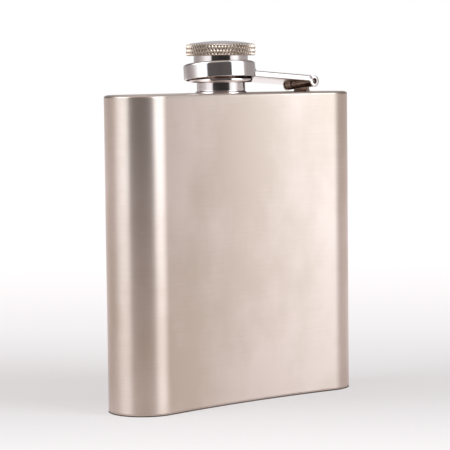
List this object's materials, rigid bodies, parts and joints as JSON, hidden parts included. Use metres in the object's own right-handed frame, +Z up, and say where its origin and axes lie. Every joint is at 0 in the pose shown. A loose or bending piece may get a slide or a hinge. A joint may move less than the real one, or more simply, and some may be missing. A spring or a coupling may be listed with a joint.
{
  "type": "hip flask",
  "caption": "Curved pocket flask with rounded ends, pressed end plates, a short neck, and a knurled screw cap held captive in the collar of a hinged arm.",
  "frame": {"origin": "on the resting face, under the middle of the flask", "axes": "+Z up along the neck, +X towards the hinge of the arm, -Y towards the hollow side that lies against the hip"},
  "size_m": [0.093, 0.027, 0.1139],
  "materials": {
    "brushed_steel": "fine horizontal brushing, satin, warm tone",
    "polished_steel": "mirror polish",
    "knurled_steel": "fine diamond knurl with a satin domed top",
    "hinge_steel": "dark polished",
    "liner_plastic": "moulded, off-white",
    "seal_rubber": "food-safe silicone, translucent white"
  },
  "bodies": {
    "flask": {"body_shell": "brushed_steel", "top_plate": "brushed_steel", "bottom_plate": "brushed_steel", "neck": "polished_steel", "hinge_bracket": "hinge_steel", "hinge_spacer": "hinge_steel", "hinge_pin": "hinge_steel"},
    "arm": {"collar_arm": "polished_steel"},
    "seal": {"seal_disc": "seal_rubber"},
    "cap": {"cap_head": "knurled_steel", "cap_skirt": "polished_steel", "thread_liner": "liner_plastic"}
  },
  "joints": [
    {"name": "arm_swing", "type": "hinge", "parent": "flask", "child": "arm", "pos_m": [0.0337, 0.00155, 0.10014], "axis": [0, 0.9957, -0.0924], "range_deg": [0, 170]},
    {"name": "cap_lift", "type": "slide", "parent": "arm", "child": "seal", "axis": [0, 0, 1], "range_m": [0, 0.0021]},
    {"name": "cap_turn", "type": "hinge", "parent": "seal", "child": "cap", "pos_m": [0, 0.00194, 0.1], "axis": [0, 0, 1], "range_deg": [0, 540]}
  ],
  "couplings": [
    {"joint": "cap_lift", "follows": "cap_turn", "m_per_rad": 0.00022282}
  ]
}
